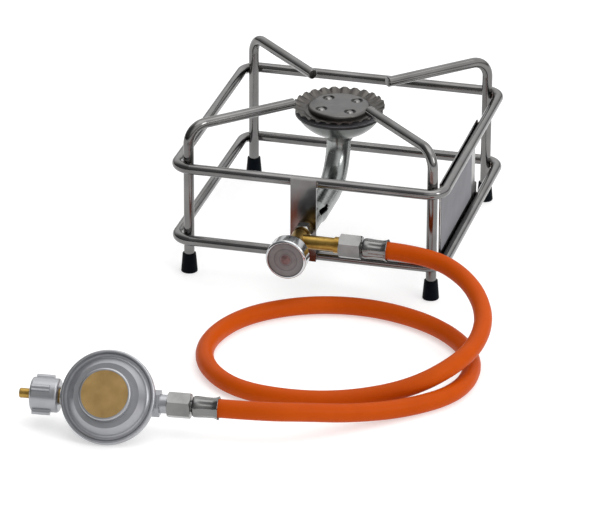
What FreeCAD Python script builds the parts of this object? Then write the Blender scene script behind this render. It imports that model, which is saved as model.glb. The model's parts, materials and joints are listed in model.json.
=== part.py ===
"""Single-ring gas cooker: welded rod stand, fluted burner, tap, hose and pressure regulator.

Millimetres, +Z up. The origin lies on the floor under the burner's axis, and -Y is the front,
where the tap's knob faces.
"""
import FreeCAD, Part
import math
import os
import Sketcher

V = FreeCAD.Vector
X_AXIS = V(1, 0, 0)
Y_AXIS = V(0, 1, 0)
Z_AXIS = V(0, 0, 1)
ROOT_TWO = math.sqrt(2)
HEX_CORNER = 2 / math.sqrt(3)

# Driving dimensions: millimetres, degrees and counts
DRIVING = {
    # stand
    "rod_dia": 8, "leg_offset": 95, "ring_stand_off": 9.5, "weld_gap": 0.05,
    "lower_ring_height": 30, "upper_ring_height": 89.5, "arm_height": 120,
    "arm_reach": 92.3, "arm_bend": 14, "rod_chamfer": 0.6,
    "foot_height": 15, "foot_base_dia": 12.8, "foot_top_dia": 10.4, "foot_sole": 3,
    "foot_edge": 0.8, "fit_gap": 0.05,
    # sheet metal
    "bracket_width": 20, "bracket_sheet": 1.5, "bracket_lap": 3.5,
    "plate_sheet": 1, "plate_front": -91, "plate_back": 37, "plate_rise": 3.8,
    "plate_drop": 3, "plate_notch": 7, "notch_margin": 8, "notch_round": 3,
    # burner
    "burner_offset": -1.2,
    "tube_dia": 19, "tube_wall": 1, "tube_bend": 33, "tube_top": 86, "waist_start": 72,
    "waist_dia": 16, "waist_place": 84, "waist_length": 10, "flare_dia": 17,
    "slot_place": 75, "slot_length": 17, "slot_width": 3.4, "slot_rise": 4.3,
    "bowl_collar": 3.5, "bowl_wall": 1.2, "bowl_lip_dia": 65.9, "bowl_lip_height": 103.6,
    "bowl_round": 32, "bowl_lip_band": 1,
    "rim_skirt": 0.9, "rim_skirt_sheet": 1, "rim_sheet": 1.2, "rim_edge": 0.6, "rim_inner_dia": 51,
    "cap_dia": 70.4, "cap_sheet": 0.8, "cap_height": 110, "cap_disc_dia": 43,
    "cap_shoulder": 2.5, "flute_root_dia": 53, "flute_rise": 4.1, "flute_depth": 0.85,
    "flute_count": 26,
    "baffle_dia": 40, "baffle_sheet": 1, "rivet_circle": 32, "rivet_count": 4,
    "dimple_dia": 9.6, "dimple_floor_dia": 7.2, "dimple_depth": 1,
    "rivet_dia": 4, "rivet_head_dia": 6, "rivet_head_rise": 1.5, "rivet_tail": 0.8,
    # tap
    "tap_height": 50, "stub_dia": 10, "stub_back": 104, "nut_across": 13, "nut_height": 4,
    "shoulder_dia": 13, "shoulder_length": 3, "waist_tap_dia": 10.5, "tee_place": 126,
    "tee_length": 14, "branch_dia": 10.5, "branch_shoulder": 32.7, "branch_collar_dia": 12.4,
    "branch_collar": 4, "thread_dia": 12, "thread_length": 8, "gas_bore": 4, "jet_bore": 1.6,
    "injector_dia": 7, "injector_length": 10, "injector_tip_dia": 3,
    "gland_thread_dia": 9, "gland_thread_length": 7, "gland_across": 12, "gland_length": 7,
    "gland_wall": 1.6, "seal_height": 1.8, "seal_dia": 7.6,
    "spindle_dia": 5, "spindle_back": 127.5, "spindle_tip_dia": 1.4, "spindle_root_dia": 3,
    "spindle_tip": 2.5,
    "knob_dia": 31.2, "knob_back": 151, "knob_height": 11.5, "knob_rim": 1.8, "knob_round": 1.6,
    "knob_recess": 1.4, "knob_face_sheet": 0.8, "knob_hub_dia": 11, "knob_hub": 4,
    "knob_hollow": 8, "screw_head_dia": 8, "screw_head": 1.2,
    "screw_dia": 2.6, "run_gap": 0.05, "swivel_gap": 0.25,
    # hose ends
    "union_across": 17, "union_length": 17, "union_chamfer": 30,
    "tail_head_dia": 11.6, "tail_head": 3, "tail_dia": 8, "tail_end": 33.5,
    "ferrule_start": 18, "ferrule_length": 19, "ferrule_dia": 15.4, "ferrule_waist_dia": 14.6,
    "ferrule_round": 2, "ferrule_band": 5, "ferrule_flare_dia": 17.4, "ferrule_flare": 3, "hose_dia": 13.5,
    # regulator
    "regulator_x": -76, "regulator_y": -365.5, "regulator_yaw": 5, "regulator_lean": 35,
    "case_dia": 68, "case_place": 12, "case_flange": 2.5, "case_bead": 2.5, "case_side_dia": 58,
    "case_back_dia": 46, "case_back": 12, "case_back_round": 5, "case_hub_dia": 25,
    "case_hub": 4, "chamber_dia": 53, "chamber_depth": 3,
    "cover_groove": 2, "cover_groove_dia": 59, "cover_cone_dia": 47, "cover_cone_rise": 6,
    "cover_wall": 2, "cover_boss_dia": 38, "cover_boss_rise": 7, "cover_round": 1.5,
    "disc_dia": 34, "disc_sheet": 0.6,
    "outlet_across": 17, "outlet_hex_end": 36, "outlet_neck_dia": 13.6, "outlet_shoulder": 41.2,
    "inlet_boss_dia": 13.4, "inlet_boss_end": 36,
    "inlet_shank_dia": 9, "inlet_shank_depth": 6, "nipple_neck_dia": 11, "nipple_collar_dia": 17,
    "nipple_collar": 3.5, "nipple_dia": 7.2, "nipple_root_dia": 7.6, "nipple_end": 66.5, "nipple_round": 1,
    "inlet_seal": 2.5, "inlet_seal_dia": 15, "handnut_start": 37, "handnut_length": 20.5,
    "handnut_dia": 24.6, "handnut_bore_dia": 20, "handnut_wall": 6, "handnut_round": 2,
    "lug_reach": 15.4, "lug_width": 4.6, "lug_length": 13, "lug_count": 4, "lug_turn": 13,
}

# The hose's middle line between its two straight ends, chosen point by point
HOSE_POINTS = (
    (135.5, -147.5, 44), (155.5, -180.5, 35), (159, -215.5, 28.5), (150.5, -250.5, 25), (123, -276.5, 14.5),
    (82.5, -291, 7), (42, -302, 7), (-4.5, -296.5, 7), (-37, -263.5, 7), (-45.5, -221.5, 7),
    (-30.5, -176, 7), (8.5, -145, 7), (55, -136, 7), (103, -149.5, 7), (138, -178, 7),
    (157, -217, 7), (153.5, -261.5, 7), (123.5, -294.5, 7), (89, -321.5, 11.5), (60, -344.5, 20),
)
HOSE_LEAD = 36
ARC_SHARE = 0.45
# Share of the second wave that broadens the crests of the cap's flutes
CREST_BREADTH = 0.25


class Size:
    """A number together with the sheet expression that gives it."""

    def __init__(self, number, text):
        self.number = float(number)
        self.text = text

    def __add__(self, other):
        other = as_size(other)
        return Size(self.number + other.number, f"({self.text} + {other.text})")

    def __sub__(self, other):
        other = as_size(other)
        return Size(self.number - other.number, f"({self.text} - {other.text})")

    def __mul__(self, other):
        other = as_size(other)
        return Size(self.number * other.number, f"({self.text} * {other.text})")

    def __truediv__(self, other):
        other = as_size(other)
        return Size(self.number / other.number, f"({self.text} / {other.text})")

    def __radd__(self, other):
        return as_size(other) + self

    def __rsub__(self, other):
        return as_size(other) - self

    def __rmul__(self, other):
        return as_size(other) * self

    def __neg__(self):
        return Size(-self.number, f"(-{self.text})")


def as_size(item):
    """Take a plain number or a Size as a Size."""
    if isinstance(item, Size):
        return item
    return Size(item, f"({float(item):.9f})")


def number(item):
    """The plain number of a Size or a number."""
    return as_size(item).number


def fill_sheet(document):
    """Put the driving dimensions into a sheet, and give each one as a Size."""
    sheet = document.addObject("Spreadsheet::Sheet", "dims")
    sizes = {}
    for row, (alias, entry) in enumerate(DRIVING.items(), start=1):
        sheet.set(f"A{row}", alias)
        sheet.set(f"B{row}", str(entry))
        sheet.setAlias(f"B{row}", alias)
        sizes[alias] = Size(entry, f"dims.{alias}")
    document.recompute()
    return sizes


doc = FreeCAD.newDocument("gas_cooker")
D = fill_sheet(doc)
nodes = []


# Construction helpers

def bind(thing, prop, size):
    """Tie a property to the sheet."""
    thing.setExpression(prop, as_size(size).text)


def new_body(label, base=(0, 0, 0), turn=None):
    """Start a named body at a sheet-driven place."""
    body = doc.addObject("PartDesign::Body", label)
    body.Label = label
    rotation = turn or FreeCAD.Rotation()
    body.Placement = FreeCAD.Placement(V(*[number(b) for b in base]), rotation)
    for name, size in zip("xyz", base):
        if isinstance(size, Size):
            bind(body, f"Placement.Base.{name}", size)
    nodes.append(body)
    return body


def new_sketch(body, plane, lift=0):
    """Start a sketch on one of the body's own origin planes, lifted along its normal."""
    sketch = body.newObject("Sketcher::SketchObject", f"{body.Label}_sketch")
    support = next(f for f in body.Origin.OriginFeatures if f.Role == plane)
    sketch.AttachmentSupport = [(support, "")]
    sketch.MapMode = "FlatFace"
    if isinstance(lift, Size):
        bind(sketch, "AttachmentOffset.Base.z", lift)
    return sketch


def pin_point(sketch, item, spot, x, y):
    """Hold one point of a sketch at sheet-driven coordinates."""
    for kind, size, axis in (("DistanceX", x, -2), ("DistanceY", y, -1)):
        if not isinstance(size, Size) and size == 0:
            sketch.addConstraint(Sketcher.Constraint("PointOnObject", item, spot, axis))
            continue
        rule = Sketcher.Constraint(kind, -1, 1, item, spot, number(size))
        index = sketch.addConstraint(rule)
        bind(sketch, f"Constraints[{index}]", size)


def arc_between(start, end, radius):
    """The short arc between two points, anticlockwise for a positive radius."""
    chord = end - start
    rise = math.sqrt(max(radius ** 2 - (chord.Length / 2) ** 2, 0))
    side = V(-chord.y, chord.x, 0).normalize()
    if radius < 0:
        side = -side
    centre = start + chord / 2 + side * rise
    first, last = (start, end) if radius > 0 else (end, start)
    angles = [math.atan2(p.y - centre.y, p.x - centre.x) for p in (first, last)]
    if angles[1] < angles[0]:
        angles[1] += 2 * math.pi
    circle = Part.Circle(centre, Z_AXIS, abs(radius))
    return Part.ArcOfCircle(circle, *angles)


def outline(body, plane, points, lift=0, closed=True):
    """Draw a sketch through points; a third entry makes the stretch after it an arc."""
    sketch = new_sketch(body, plane, lift)
    places = [V(number(p[0]), number(p[1]), 0) for p in points]
    count = len(points)
    stretches = count if closed else count - 1
    ends = []
    for i in range(stretches):
        start, end = places[i], places[(i + 1) % count]
        if len(points[i]) == 3:
            radius = points[i][2]
            item = sketch.addGeometry(arc_between(start, end, number(radius)))
            ends.append((item, 1, 2) if number(radius) > 0 else (item, 2, 1))
            rule = Sketcher.Constraint("Radius", item, abs(number(radius)))
            index = sketch.addConstraint(rule)
            bind(sketch, f"Constraints[{index}]", radius if number(radius) > 0 else -radius)
        else:
            item = sketch.addGeometry(Part.LineSegment(start, end))
            ends.append((item, 1, 2))
    joints = stretches if closed else stretches - 1
    for i in range(joints):
        item, _, last = ends[i]
        after, first, _ = ends[(i + 1) % stretches]
        sketch.addConstraint(Sketcher.Constraint("Coincident", item, last, after, first))
    for i in range(stretches):
        pin_point(sketch, ends[i][0], ends[i][1], points[i][0], points[i][1])
    if not closed:
        pin_point(sketch, ends[-1][0], ends[-1][2], points[-1][0], points[-1][1])
    return sketch


def circle(body, plane, radius, centre=(0, 0), lift=0):
    """Draw a sketch of one circle."""
    sketch = new_sketch(body, plane, lift)
    spot = V(number(centre[0]), number(centre[1]), 0)
    item = sketch.addGeometry(Part.Circle(spot, Z_AXIS, number(radius)))
    pin_point(sketch, item, 3, centre[0], centre[1])
    index = sketch.addConstraint(Sketcher.Constraint("Radius", item, number(radius)))
    bind(sketch, f"Constraints[{index}]", radius)
    return sketch


def feature(body, kind, sketch):
    """Add a sketch-based feature to a body."""
    made = body.newObject(f"PartDesign::{kind}", f"{body.Label}_{kind}")
    made.Profile = sketch
    return made


def turned(body, points, axis="V_Axis", plane="XZ_Plane", cut=False):
    """Turn a profile of radius and height right round an axis of its sketch."""
    sketch = outline(body, plane, points)
    made = feature(body, "Groove" if cut else "Revolution", sketch)
    made.ReferenceAxis = (sketch, [axis])
    made.Angle = 360
    doc.recompute()
    return made


def padded(body, sketch, length):
    """Pad a sketch along its normal."""
    made = feature(body, "Pad", sketch)
    bind(made, "Length", length)
    doc.recompute()
    return made


def pocketed(body, sketch, length, reverse=False):
    """Cut a sketch into the body, against its normal or along it."""
    made = feature(body, "Pocket", sketch)
    bind(made, "Length", length)
    made.Reversed = reverse
    doc.recompute()
    return made


def piped(body, profile, path, cut=False):
    """Sweep a profile along the edges of a path sketch."""
    made = feature(body, "SubtractivePipe" if cut else "AdditivePipe", profile)
    edges = [f"Edge{i + 1}" for i in range(path.GeometryCount)]
    made.Spine = (path, edges)
    doc.recompute()
    return made


def dress(body, kind, amount, test):
    """Fillet or chamfer those edges of the body that pass a test."""
    base = body.Tip
    names = [f"Edge{i + 1}" for i, edge in enumerate(base.Shape.Edges) if test(edge)]
    made = body.newObject(f"PartDesign::{kind}", f"{body.Label}_{kind}")
    made.Base = (base, names)
    bind(made, "Radius" if kind == "Fillet" else "Size", amount)
    doc.recompute()
    return made


def patterned(body, made, count):
    """Repeat a feature evenly about the body's own Z axis."""
    pattern = body.newObject("PartDesign::PolarPattern", f"{body.Label}_pattern")
    pattern.Originals = [made]
    axis = next(f for f in body.Origin.OriginFeatures if f.Role == "Z_Axis")
    pattern.Axis = (axis, [""])
    pattern.Angle = 360
    bind(pattern, "Occurrences", count)
    body.Tip = pattern
    doc.recompute()
    return pattern


def hexagon(body, plane, across, lift=0):
    """Draw a hexagon with flats up and down in its sketch."""
    half = across / 2
    long_half = half * HEX_CORNER
    corners = (
        (long_half, 0), (long_half / 2, half), (-long_half / 2, half),
        (-long_half, 0), (-long_half / 2, -half), (long_half / 2, -half),
    )
    return outline(body, plane, corners, lift)


def hex_nut(label, across, bottom, top, bores, base, turn):
    """A chamfered hexagon nut along its body's Z axis, with stepped bores."""
    body = new_body(label, base, turn)
    padded(body, hexagon(body, "XY_Plane", across, bottom), top - bottom)
    flat = across / 2
    corner = flat * HEX_CORNER + D["swivel_gap"]
    slope = (corner - flat) * math.tan(math.radians(number(D["union_chamfer"])))
    turned(body, ((flat, top), (corner, top - slope), (corner, top)), cut=True)
    turned(body, ((flat, bottom), (corner, bottom), (corner, bottom + slope)), cut=True)
    profile = []
    for radius, start, end in bores:
        profile += [(radius, start), (radius, end)]
    turned(body, [(0, bores[0][1])] + profile + [(0, bores[-1][2])], cut=True)
    return body


# Stand

ROD = D["rod_dia"] / 2
RING_HALF = D["leg_offset"] + D["ring_stand_off"]
RING_CORNER = (ROOT_TWO * D["ring_stand_off"] - D["rod_dia"] - D["weld_gap"]) / (ROOT_TWO - 1)
LEG_PLACES = {
    "front_left": (-1, -1, 45), "front_right": (1, -1, 135),
    "back_right": (1, 1, 225), "back_left": (-1, 1, 315),
}


def make_ring(label, height):
    """A square ring of round rod, bent at the corners and butt welded."""
    body = new_body(label, (0, 0, height))
    straight = RING_HALF - RING_CORNER
    path = outline(body, "XY_Plane", (
        (0, -RING_HALF), (straight, -RING_HALF, RING_CORNER),
        (RING_HALF, -straight), (RING_HALF, straight, RING_CORNER),
        (straight, RING_HALF), (-straight, RING_HALF, RING_CORNER),
        (-RING_HALF, straight), (-RING_HALF, -straight, RING_CORNER),
        (-straight, -RING_HALF),
    ))
    profile = circle(body, "YZ_Plane", ROD, (-RING_HALF, 0))
    piped(body, profile, path)


def make_leg(corner, side_x, side_y, heading):
    """An upright rod whose bent top is a pot support that points at the middle."""
    turn = FreeCAD.Rotation(Z_AXIS, heading)
    body = new_body(f"leg_{corner}", (D["leg_offset"] * side_x, D["leg_offset"] * side_y, 0), turn)
    bend = D["arm_bend"]
    path = outline(body, "XZ_Plane", (
        (0, D["foot_sole"]), (0, D["arm_height"] - bend, -bend),
        (bend, D["arm_height"]), (D["arm_reach"], D["arm_height"]),
    ), closed=False)
    profile = circle(body, "XY_Plane", ROD, lift=D["foot_sole"])
    piped(body, profile, path)
    reach = number(D["arm_reach"] - ROD)
    dress(body, "Chamfer", D["rod_chamfer"], lambda edge: edge.CenterOfMass.x > reach)


def make_foot(corner, side_x, side_y):
    """A tapered rubber cap pushed over the end of a leg."""
    body = new_body(f"foot_{corner}", (D["leg_offset"] * side_x, D["leg_offset"] * side_y, 0))
    base, top, edge = D["foot_base_dia"] / 2, D["foot_top_dia"] / 2, D["foot_edge"]
    turned(body, (
        (0, 0), (base - edge, 0, edge), (base, edge), (top, D["foot_height"]),
        (ROD + D["fit_gap"], D["foot_height"]), (ROD + D["fit_gap"], D["foot_sole"]),
        (0, D["foot_sole"]),
    ))


# Sheet metal on the stand

ROD_FACE = RING_HALF + ROD + D["weld_gap"]
BRACKET_FRONT = ROD_FACE + D["bracket_sheet"]


def make_bracket():
    """The upright strip welded in front of both rings, which carries the tap."""
    body = new_body("front_bracket", (D["burner_offset"], -ROD_FACE, 0))
    half = D["bracket_width"] / 2
    low = D["lower_ring_height"] - D["bracket_lap"]
    high = D["upper_ring_height"] + D["bracket_lap"]
    sketch = outline(body, "XZ_Plane", ((-half, low), (half, low), (half, high), (-half, high)))
    padded(body, sketch, D["bracket_sheet"])
    hole = circle(body, "XZ_Plane", D["stub_dia"] / 2 + D["fit_gap"], (0, D["tap_height"]))
    pocketed(body, hole, D["bracket_sheet"], reverse=True)


def make_side_plate():
    """The sheet welded inside the right-hand rods, with a notch behind."""
    inner = RING_HALF - ROD - D["weld_gap"] - D["plate_sheet"]
    body = new_body("side_plate", (inner, 0, 0))
    front, back = D["plate_front"], D["plate_back"]
    low = D["lower_ring_height"] - D["plate_drop"]
    high = D["upper_ring_height"] + D["plate_rise"]
    bay_low = D["lower_ring_height"] + ROD + D["notch_margin"]
    bay_high = D["upper_ring_height"] - ROD - D["notch_margin"] / 2
    deep, bend = back - D["plate_notch"], D["notch_round"]
    sketch = outline(body, "YZ_Plane", (
        (front, low), (back, low), (back, bay_low - bend, bend), (back - bend, bay_low),
        (deep + bend, bay_low, -bend), (deep, bay_low + bend), (deep, bay_high - bend, -bend),
        (deep + bend, bay_high), (back - bend, bay_high, bend), (back, bay_high + bend),
        (back, high), (front, high),
    ))
    padded(body, sketch, D["plate_sheet"])


# Burner

TUBE = D["tube_dia"] / 2
TUBE_BORE = TUBE - D["tube_wall"]
LIP = D["bowl_lip_dia"] / 2
RIM_SEAT = D["bowl_lip_height"] + D["rim_sheet"]
CAP_UNDER = D["cap_height"] - D["cap_sheet"]
BAFFLE_TOP = CAP_UNDER - D["dimple_depth"]
BURNER_FOOT = (D["burner_offset"], 0, 0)


def make_mixing_tube():
    """The bent tube from the tap to the bowl, pressed to a waist, with air slots."""
    body = new_body("mixing_tube", (D["burner_offset"], 0, D["tap_height"]))
    bend, top = D["tube_bend"], D["tube_top"] - D["tap_height"]
    route = ((0, top), (0, bend, -bend), (-bend, 0), (-D["waist_start"], 0))
    path = outline(body, "YZ_Plane", route, closed=False)
    piped(body, circle(body, "XY_Plane", TUBE, lift=top), path)
    narrow, flare = D["waist_dia"] / 2, D["flare_dia"] / 2
    near, far = D["waist_place"] - D["waist_length"] / 2, D["waist_place"] + D["waist_length"] / 2
    outer = (
        (-D["waist_start"], 0), (-D["waist_start"], TUBE), (-near, narrow), (-far, narrow),
        (-ROD_FACE, flare), (-ROD_FACE, 0),
    )
    turned(body, outer, "H_Axis", "YZ_Plane")
    bore_path = outline(body, "YZ_Plane", route, closed=False)
    piped(body, circle(body, "XY_Plane", TUBE_BORE, lift=top), bore_path, cut=True)
    wall = D["tube_wall"]
    inner = (
        (-D["waist_start"], 0), (-D["waist_start"], TUBE_BORE), (-near, narrow - wall),
        (-far, narrow - wall), (-ROD_FACE, flare - wall), (-ROD_FACE, 0),
    )
    turned(body, inner, "H_Axis", "YZ_Plane", cut=True)
    end = D["slot_width"] / 2
    middle = D["slot_rise"]
    low, high = middle - end, middle + end
    back, front = -D["slot_place"] + D["slot_length"] / 2, -D["slot_place"] - D["slot_length"] / 2
    slot = outline(body, "YZ_Plane", (
        (front + end, low), (back - end, low, end), (back, middle, end), (back - end, high),
        (front + end, high, end), (front, middle, end),
    ), -D["tube_dia"])
    pocketed(body, slot, D["tube_dia"] * 2, reverse=True)


def make_bowl():
    """The pressed bowl: a collar over the tube and a dish up to its lip."""
    body = new_body("burner_bowl", BURNER_FOOT)
    wall, bend = D["bowl_wall"], D["bowl_round"]
    hole = TUBE + D["fit_gap"]
    low, lip = D["tube_top"] - D["bowl_collar"], D["bowl_lip_height"]
    turned(body, (
        (hole, low), (hole + wall, low), (hole + wall, D["tube_top"], bend),
        (LIP, lip - D["bowl_lip_band"]), (LIP, lip), (LIP - wall, lip),
        (LIP - wall, lip - D["bowl_lip_band"], -bend), (hole, D["tube_top"] + wall),
    ))


def make_rim():
    """The dark ring on the bowl's lip, whose inner flange carries the cap."""
    body = new_body("burner_rim", BURNER_FOOT)
    inner, low = D["rim_inner_dia"] / 2, D["bowl_lip_height"]
    skirt, hem = LIP + D["fit_gap"], low - D["rim_skirt"]
    outer, edge = skirt + D["rim_skirt_sheet"], D["rim_edge"]
    turned(body, (
        (inner, low), (skirt, low), (skirt, hem), (outer, hem), (outer, RIM_SEAT - edge, edge),
        (outer - edge, RIM_SEAT), (inner, RIM_SEAT),
    ))


def flute_edge(radius, height, depth):
    """A closed wavy edge round the burner: the flutes as a formula."""
    flutes = int(number(D["flute_count"]))
    steps = flutes * 12
    points = []
    for step in range(steps):
        angle = 2 * math.pi * step / steps
        wave = math.cos(flutes * angle) - CREST_BREADTH * math.cos(2 * flutes * angle)
        lift = height + depth * wave
        points.append(V(radius * math.cos(angle), radius * math.sin(angle), lift))
    curve = Part.BSplineCurve()
    curve.interpolate(points, PeriodicFlag=True)
    return curve.toShape()


def make_cap():
    """The fluted cap: a raised disc inside a ring of hollow flutes, the gas ports."""
    sheet = number(D["cap_sheet"])
    root, rim = number(D["flute_root_dia"] / 2), number(D["cap_dia"] / 2)
    foot = number(RIM_SEAT) + sheet
    crest = foot + number(D["flute_rise"])
    depth = number(D["flute_depth"])
    down = V(0, 0, -sheet)
    inner = Part.Circle(V(0, 0, foot), Z_AXIS, root).toShape()
    outer = flute_edge(rim, crest, depth)
    inner_low, outer_low = inner.translated(down), outer.translated(down)
    pairs = ((inner, outer), (inner_low, outer_low), (outer, outer_low), (inner, inner_low))
    faces = [Part.makeRuledSurface(*pair) for pair in pairs]
    shell = Part.makeShell(faces)
    shell.sewShape()
    flutes = Part.makeSolid(shell)
    if flutes.Volume < 0:
        flutes.reverse()
    top, under = number(D["cap_height"]), number(CAP_UNDER)
    flat, bend = number(D["cap_disc_dia"] / 2), number(D["cap_shoulder"])
    corner = V(flat, 0, top - bend)
    slant = bend / ROOT_TWO
    upper = Part.Arc(V(flat, 0, top), corner + V(slant, 0, slant), corner + V(bend, 0, 0))
    thin = bend - sheet
    slant_in = thin / ROOT_TWO
    lower = Part.Arc(corner + V(thin, 0, 0), corner + V(slant_in, 0, slant_in), V(flat, 0, under))
    ends = [V(flat + bend, 0, top - bend), V(flat + bend, 0, foot + sheet / 2), V(root, 0, foot),
            V(root, 0, foot - sheet), V(flat + thin, 0, foot - sheet), V(flat + thin, 0, top - bend)]
    edges = [Part.LineSegment(V(0, 0, top), V(flat, 0, top)), upper]
    edges += [Part.LineSegment(a, b) for a, b in zip(ends, ends[1:])]
    edges += [lower, Part.LineSegment(V(flat, 0, under), V(0, 0, under)),
              Part.LineSegment(V(0, 0, under), V(0, 0, top))]
    face = Part.Face(Part.Wire([edge.toShape() for edge in edges]))
    disc = face.revolve(V(0, 0, 0), Z_AXIS, 360)
    cap = disc.fuse(flutes)
    deep = number(D["dimple_depth"])
    for place in rivet_places():
        cap = cap.fuse(dimple(place, under - deep, sheet))
    for place in rivet_places():
        cap = cap.cut(dimple(place, top - deep, 0))
        cap = cap.cut(Part.makeCylinder(number(D["rivet_dia"] / 2 + D["fit_gap"]), top, place))
    cap = cap.removeSplitter()
    node = doc.addObject("Part::Feature", "burner_cap")
    node.Label = "burner_cap"
    node.Shape = cap.Solids[0] if len(cap.Solids) == 1 else cap
    node.Placement = FreeCAD.Placement(V(number(D["burner_offset"]), 0, 0), FreeCAD.Rotation())
    nodes.append(node)


def dimple(place, floor, thickness):
    """The pressed hollow round a rivet, or with the sheet's thickness its outside."""
    narrow = number(D["dimple_floor_dia"] / 2) + thickness / 2
    wide = number(D["dimple_dia"] / 2) + thickness / 2
    return Part.makeCone(narrow, wide, number(D["dimple_depth"]), place + V(0, 0, floor))


def rivet_places():
    """The axes of the cap's rivets, on the diagonals."""
    count = int(number(D["rivet_count"]))
    radius = number(D["rivet_circle"] / 2)
    angles = [2 * math.pi * (i + 0.5) / count for i in range(count)]
    return [V(radius * math.cos(a), radius * math.sin(a), 0) for a in angles]


def make_baffle():
    """The stiffening disc riveted under the cap."""
    body = new_body("cap_baffle", BURNER_FOOT)
    radius, low = D["baffle_dia"] / 2, BAFFLE_TOP - D["baffle_sheet"]
    turned(body, ((0, low), (radius, low), (radius, BAFFLE_TOP), (0, BAFFLE_TOP)))
    spot = D["rivet_circle"] / 2 / ROOT_TWO
    hole = circle(body, "XY_Plane", D["rivet_dia"] / 2 + D["fit_gap"], (spot, spot), low)
    made = pocketed(body, hole, D["baffle_sheet"], reverse=True)
    patterned(body, made, D["rivet_count"])


def make_rivets():
    """Domed rivets through the cap and its baffle, one node for the four."""
    body = new_body("cap_rivets", BURNER_FOOT, FreeCAD.Rotation(Z_AXIS, 45))
    middle = D["rivet_circle"] / 2
    shank, head = D["rivet_dia"] / 2, D["rivet_head_dia"] / 2
    low, top = BAFFLE_TOP - D["baffle_sheet"], D["cap_height"] - D["dimple_depth"]
    rise = D["rivet_head_rise"]
    dome = (head * head + rise * rise) / (2 * rise)
    sketch = outline(body, "XZ_Plane", (
        (middle, low - D["rivet_tail"]), (middle + head, low - D["rivet_tail"]),
        (middle + head, low), (middle + shank, low), (middle + shank, top),
        (middle + head, top, dome), (middle, top + rise),
    ))
    low_end = V(number(middle), number(low), 0)
    high_end = V(number(middle), number(top), 0)
    line = sketch.addGeometry(Part.LineSegment(low_end, high_end), True)
    pin_point(sketch, line, 1, middle, low)
    pin_point(sketch, line, 2, middle, top)
    made = feature(body, "Revolution", sketch)
    made.ReferenceAxis = (sketch, ["Axis0"])
    made.Angle = 360
    doc.recompute()
    patterned(body, made, D["rivet_count"])


# Tap: each body's Z axis points to the front, along the spindle

FRONTWARD = FreeCAD.Rotation(X_AXIS, 90)
TAP_BASE = (D["burner_offset"], 0, D["tap_height"])
STUB = D["stub_dia"] / 2
SHOULDER = BRACKET_FRONT + D["nut_height"]
TEE_BACK = D["tee_place"] - D["tee_length"] / 2
TEE_FRONT = D["tee_place"] + D["tee_length"] / 2
GLAND_SEAT = TEE_FRONT + D["gland_thread_length"]
SPINDLE = D["spindle_dia"] / 2
SPINDLE_BORE = SPINDLE + D["run_gap"]


def make_tap_body():
    """The brass body: stub through the bracket, tee with its hose branch, and gland thread."""
    body = new_body("valve_body", TAP_BASE, FRONTWARD)
    wide, slim = D["shoulder_dia"] / 2, D["waist_tap_dia"] / 2
    thread = D["gland_thread_dia"] / 2
    turned(body, (
        (0, D["stub_back"]), (STUB, D["stub_back"]), (STUB, SHOULDER), (wide, SHOULDER),
        (wide, SHOULDER + D["shoulder_length"]), (slim, SHOULDER + D["shoulder_length"]),
        (slim, TEE_BACK), (wide, TEE_BACK), (wide, TEE_FRONT), (thread, TEE_FRONT),
        (thread, GLAND_SEAT), (0, GLAND_SEAT),
    ), plane="YZ_Plane")
    start = D["branch_shoulder"] - D["branch_collar"]
    spot = (0, D["tee_place"])
    padded(body, upright_circle(body, D["branch_dia"] / 2, spot), start)
    padded(body, upright_circle(body, D["branch_collar_dia"] / 2, spot, start), D["branch_collar"])
    end = D["branch_shoulder"]
    padded(body, upright_circle(body, D["thread_dia"] / 2, spot, end), D["thread_length"])
    gas = D["gas_bore"] / 2
    hole = upright_circle(body, gas, spot)
    pocketed(body, hole, end + D["thread_length"], reverse=True)
    seal = D["seal_dia"] / 2
    turned(body, (
        (0, D["stub_back"]), (D["jet_bore"] / 2, D["stub_back"]),
        (D["jet_bore"] / 2, TEE_BACK), (gas, TEE_BACK), (gas, D["spindle_back"] - D["fit_gap"]),
        (SPINDLE_BORE, D["spindle_back"]), (SPINDLE_BORE, GLAND_SEAT - D["seal_height"]),
        (seal, GLAND_SEAT - D["seal_height"]), (seal, GLAND_SEAT), (0, GLAND_SEAT),
    ), plane="YZ_Plane", cut=True)


def upright_circle(body, radius, spot, lift=0):
    """A circle across the body's X axis, at a place along its Z axis."""
    return circle(body, "YZ_Plane", radius, spot, lift)


def make_lock_nut():
    """The plated nut that clamps the tap to the bracket."""
    hex_nut("valve_lock_nut", D["nut_across"], BRACKET_FRONT, SHOULDER,
            ((STUB + D["fit_gap"], BRACKET_FRONT, SHOULDER),), TAP_BASE, FRONTWARD)


def make_injector():
    """The jet on the end of the stub, blowing into the mixing tube."""
    body = new_body("injector", TAP_BASE, FRONTWARD)
    end = D["stub_back"]
    wide, tip = D["injector_dia"] / 2, D["injector_tip_dia"] / 2
    turned(body, (
        (D["jet_bore"] / 2, end), (wide, end), (wide, end - D["injector_length"] / 2),
        (tip, end - D["injector_length"]), (D["jet_bore"] / 2, end - D["injector_length"]),
    ))


def make_gland():
    """The packing nut over the gland thread."""
    thread = D["gland_thread_dia"] / 2 + D["fit_gap"]
    start = GLAND_SEAT + D["gland_wall"] - D["gland_length"]
    hex_nut("gland_nut", D["gland_across"], start, GLAND_SEAT + D["gland_wall"],
            ((thread, start, GLAND_SEAT),
             (SPINDLE_BORE + D["swivel_gap"], GLAND_SEAT, GLAND_SEAT + D["gland_wall"])),
            TAP_BASE, FRONTWARD)


def make_spindle_seal():
    """The packing ring round the spindle, under the gland nut."""
    body = new_body("spindle_seal", TAP_BASE, FRONTWARD)
    inner, outer = SPINDLE_BORE, D["seal_dia"] / 2 - D["fit_gap"]
    low = GLAND_SEAT - D["seal_height"]
    turned(body, ((inner, low), (outer, low), (outer, GLAND_SEAT), (inner, GLAND_SEAT)))


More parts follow.
